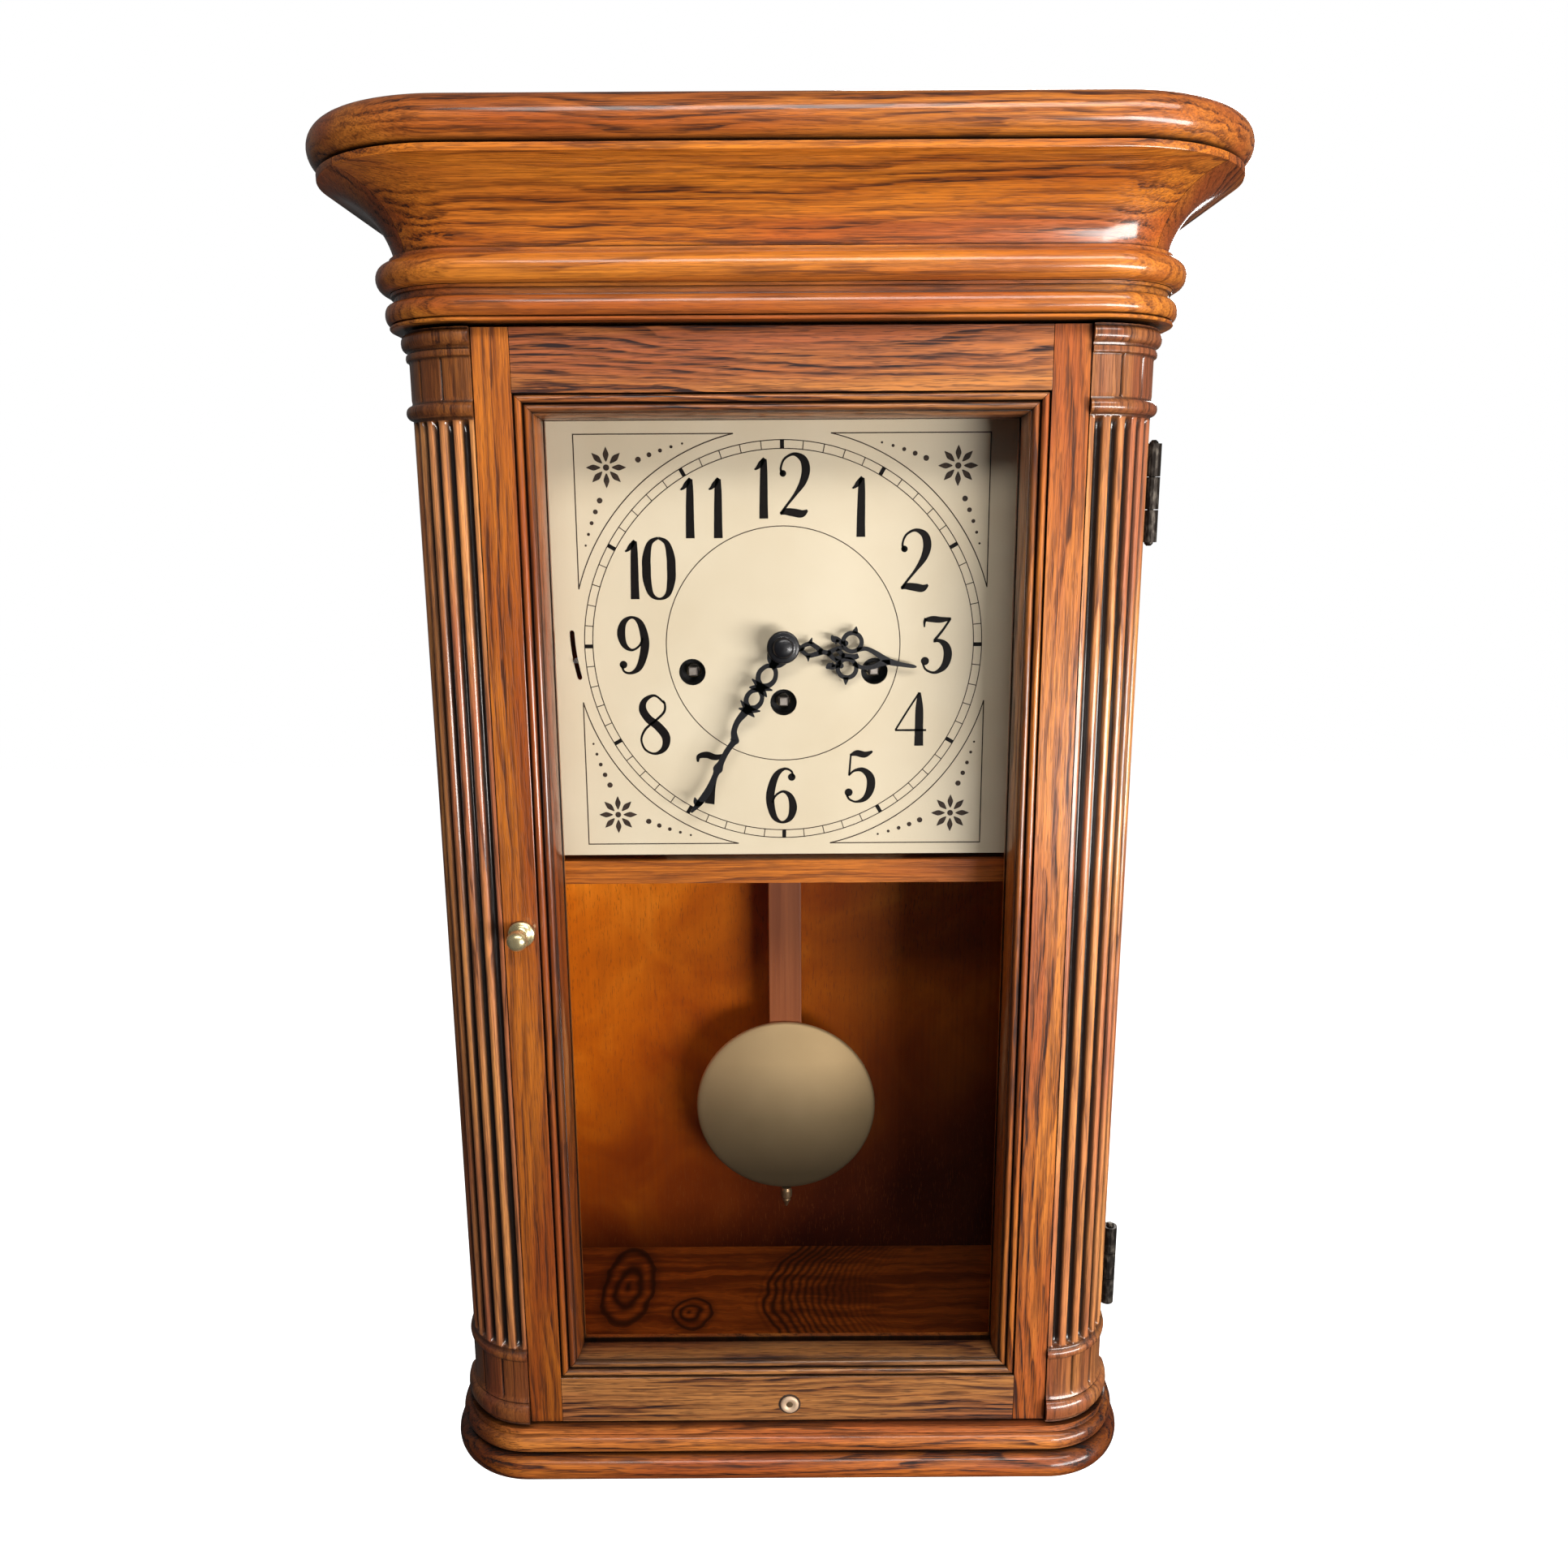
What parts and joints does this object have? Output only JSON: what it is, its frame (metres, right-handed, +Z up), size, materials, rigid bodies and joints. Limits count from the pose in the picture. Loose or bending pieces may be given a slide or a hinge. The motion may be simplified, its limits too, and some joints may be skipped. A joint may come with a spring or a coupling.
{
  "type": "pendulum wall clock",
  "caption": "Key-wound wall clock: oak case with moulded crown, hinged glazed door between reeded quarter columns, square dial with hands, pendulum and spring movement.",
  "frame": {"origin": "under the middle of the bounding box, on the underside of the base", "axes": "+Z up, +Y into the wall, +X to the right as the clock is seen"},
  "size_m": [0.3932, 0.1716, 0.625],
  "materials": {
    "oak": "medium brown stained oak, gloss lacquer, dark open pores",
    "birch_ply": "stained birch plywood, satin",
    "floor_pine": "dark stained softwood, satin",
    "bare_wood": "bare wood",
    "dial_ivory": "ivory paint, printed in black",
    "black_metal": "black, semi-gloss",
    "polished_brass": "polished and lacquered",
    "satin_brass": "satin",
    "antique_hinge": "antique bronze plating, worn",
    "steel": "plain",
    "glass": "clear",
    "stick_wood": "stained hardwood, satin"
  },
  "bodies": {
    "case": {"base_lower_board": "oak", "base_upper_board": "oak", "side_panel_left": "oak", "side_panel_right": "oak", "case_top_board": "oak", "crown_bead_board": "oak", "crown_cove_front": "oak", "crown_cove_left": "oak", "crown_cove_right": "oak", "crown_top_board": "oak", "seat_board": "oak", "back_panel": "birch_ply", "bottom_board": "floor_pine", "dial_cleat_left": "bare_wood", "dial_cleat_right": "bare_wood", "movement_riser": "bare_wood", "dial_plate": "dial_ivory", "movement_front_plate": "satin_brass", "movement_back_plate": "satin_brass", "suspension_post": "satin_brass", "hinge_case_leaf_upper": "antique_hinge", "hinge_case_leaf_lower": "antique_hinge", "hanger_plate": "steel", "catch_magnet": "steel", "chime_rod_block": "steel"},
    "door": {"door_stile_left": "oak", "door_stile_right": "oak", "door_rail_top": "oak", "door_rail_bottom": "oak", "column_left": "oak", "column_right": "oak", "glass_pane": "glass", "glass_retainer": "oak", "door_knob": "polished_brass", "rail_rosette": "polished_brass", "catch_strike": "steel", "hinge_door_leaf_upper": "antique_hinge", "hinge_door_leaf_lower": "antique_hinge"},
    "minute_hand_set": {"minute_hand": "black_metal", "hand_nut": "black_metal", "cannon_pinion": "satin_brass"},
    "hour_hand_set": {"hour_hand": "black_metal", "hour_wheel": "satin_brass"},
    "minute_wheel": {"minute_wheel": "satin_brass"},
    "chime_lever": {"chime_lever": "steel"},
    "time_winding_arbor": {"time_winding_arbor": "steel"},
    "time_barrel": {"time_barrel": "satin_brass"},
    "chime_winding_arbor": {"chime_winding_arbor": "steel"},
    "chime_barrel": {"chime_barrel": "satin_brass"},
    "strike_winding_arbor": {"strike_winding_arbor": "steel"},
    "strike_barrel": {"strike_barrel": "satin_brass"},
    "centre_wheel": {"centre_wheel": "satin_brass"},
    "third_wheel": {"third_wheel": "satin_brass"},
    "escape_wheel": {"escape_wheel": "satin_brass"},
    "pallet_anchor": {"pallet_anchor": "steel"},
    "rating_nut": {"rating_nut": "polished_brass"},
    "chime_hammers": {"chime_hammers": "satin_brass"},
    "pendulum": {"pendulum_hook": "satin_brass", "pendulum_stick": "stick_wood", "pendulum_bob": "satin_brass"}
  },
  "joints": [
    {"name": "door_hinge", "type": "hinge", "parent": "case", "child": "door", "pos_m": [0.1655, -0.01675, 0.284], "axis": [0, 0, 1], "range_deg": [0, 110]},
    {"name": "minute_hand_turn", "type": "hinge", "parent": "case", "child": "minute_hand_set", "pos_m": [0, -0.0102, 0.4108], "axis": [0, 1, 0], "continuous": true},
    {"name": "hour_hand_turn", "type": "hinge", "parent": "case", "child": "hour_hand_set", "pos_m": [0, -0.0102, 0.4108], "axis": [0, 1, 0], "continuous": true},
    {"name": "minute_wheel_turn", "type": "hinge", "parent": "case", "child": "minute_wheel", "pos_m": [0, -0.0042, 0.4271], "axis": [0, 1, 0], "continuous": true},
    {"name": "chime_lever_tilt", "type": "hinge", "parent": "case", "child": "chime_lever", "pos_m": [-0.0005, -0.0086, 0.4197], "axis": [0, 1, 0], "range_deg": [-3, 6]},
    {"name": "time_winding", "type": "hinge", "parent": "case", "child": "time_winding_arbor", "pos_m": [0, 0.0158, 0.384], "axis": [0, 1, 0], "range_deg": [0, 2520]},
    {"name": "time_barrel_turn", "type": "hinge", "parent": "case", "child": "time_barrel", "pos_m": [0, 0.0158, 0.384], "axis": [0, 1, 0], "continuous": true},
    {"name": "chime_winding", "type": "hinge", "parent": "case", "child": "chime_winding_arbor", "pos_m": [0.0425, 0.0158, 0.3985], "axis": [0, 1, 0], "range_deg": [0, 2520]},
    {"name": "chime_barrel_turn", "type": "hinge", "parent": "case", "child": "chime_barrel", "pos_m": [0.0425, 0.0158, 0.3985], "axis": [0, 1, 0], "continuous": true},
    {"name": "strike_winding", "type": "hinge", "parent": "case", "child": "strike_winding_arbor", "pos_m": [-0.0425, 0.0158, 0.3985], "axis": [0, 1, 0], "range_deg": [0, 2520]},
    {"name": "strike_barrel_turn", "type": "hinge", "parent": "case", "child": "strike_barrel", "pos_m": [-0.0425, 0.0158, 0.3985], "axis": [0, 1, 0], "continuous": true},
    {"name": "third_wheel_turn", "type": "hinge", "parent": "case", "child": "third_wheel", "pos_m": [-0.016, 0.0198, 0.428], "axis": [0, 1, 0], "continuous": true},
    {"name": "centre_wheel_turn", "type": "hinge", "parent": "case", "child": "centre_wheel", "pos_m": [0, 0.0198, 0.4108], "axis": [0, 1, 0], "continuous": true},
    {"name": "escape_wheel_turn", "type": "hinge", "parent": "case", "child": "escape_wheel", "pos_m": [0, 0.0198, 0.434], "axis": [0, 1, 0], "continuous": true},
    {"name": "pendulum_swing", "type": "hinge", "parent": "case", "child": "pendulum", "pos_m": [0, 0.0578, 0.456], "axis": [0, 1, 0], "range_deg": [-4, 4]},
    {"name": "pallet_anchor_rock", "type": "hinge", "parent": "case", "child": "pallet_anchor", "pos_m": [0, 0.0258, 0.456], "axis": [0, 1, 0], "range_deg": [-4.2, 4.2]},
    {"name": "rating_nut_turn", "type": "hinge", "parent": "pendulum", "child": "rating_nut", "pos_m": [0, 0.0538, 0.0896], "axis": [0, 0, 1], "continuous": true},
    {"name": "chime_hammers_lift", "type": "hinge", "parent": "case", "child": "chime_hammers", "pos_m": [-0.045, 0.0508, 0.426], "axis": [0, 0, 1], "range_deg": [0, 12]}
  ],
  "couplings": [
    {"joint": "hour_hand_turn", "follows": "minute_hand_turn", "ratio": 0.083333},
    {"joint": "minute_wheel_turn", "follows": "minute_hand_turn", "ratio": -0.33333},
    {"joint": "centre_wheel_turn", "follows": "third_wheel_turn", "ratio": -0.13725},
    {"joint": "escape_wheel_turn", "follows": "third_wheel_turn", "ratio": -6.6364},
    {"joint": "time_barrel_turn", "follows": "third_wheel_turn", "ratio": -0.0044419},
    {"joint": "pallet_anchor_rock", "follows": "pendulum_swing", "ratio": 1}
  ]
}
